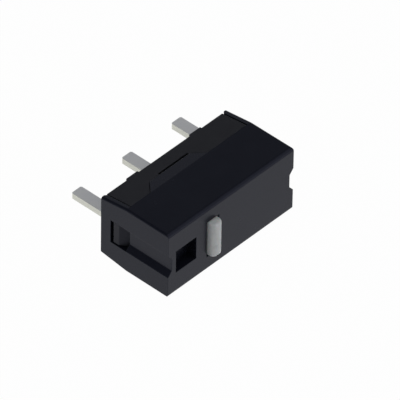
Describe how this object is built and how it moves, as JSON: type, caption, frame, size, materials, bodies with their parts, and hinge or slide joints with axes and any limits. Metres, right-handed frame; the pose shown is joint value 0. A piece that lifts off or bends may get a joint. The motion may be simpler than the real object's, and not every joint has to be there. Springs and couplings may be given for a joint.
{
  "type": "snap-action micro switch",
  "caption": "Small black snap-action switch with an off-white pin plunger on one narrow face and flat terminals for a circuit board on the other.",
  "frame": {"origin": "under the middle of the bounding box, on the surface that the switch lies on", "axes": "+X along the length, from the plunger's end to the far end; +Y from the plunger towards the terminals; +Z across the thickness, up from the wide face that it lies on"},
  "size_m": [0.0128, 0.0106, 0.0058],
  "materials": {
    "cover_plastic": "moulded black thermoplastic, fine satin texture",
    "base_plastic": "moulded black thermoplastic, slightly lighter",
    "plunger_plastic": "moulded off-white acetal",
    "terminal_metal": "brass with dull tin plating",
    "leaf_metal": "rolled beryllium copper",
    "contact_metal": "silver alloy"
  },
  "bodies": {
    "housing": {"cover": "cover_plastic", "base": "base_plastic", "common_terminal": "terminal_metal", "normally_open_terminal": "terminal_metal", "normally_closed_terminal": "terminal_metal", "normally_open_contact": "contact_metal", "normally_closed_contact": "contact_metal"},
    "button": {"plunger": "plunger_plastic"},
    "leaf": {"snap_spring": "leaf_metal", "moving_contact": "contact_metal"}
  },
  "joints": [
    {"name": "plunger_slide", "type": "slide", "parent": "housing", "child": "button", "axis": [0, 1, 0], "range_m": [0, 0.00055], "stiffness_N_per_m": 900, "springref_m": -0.0003},
    {"name": "leaf_swing", "type": "hinge", "parent": "housing", "child": "leaf", "pos_m": [-0.00507, -0.0026, 0.0029], "axis": [0, 0, 1], "range_deg": [0, 3.15]}
  ],
  "couplings": [
    {"joint": "leaf_swing", "follows": "plunger_slide", "rad_per_m": 98.439}
  ]
}
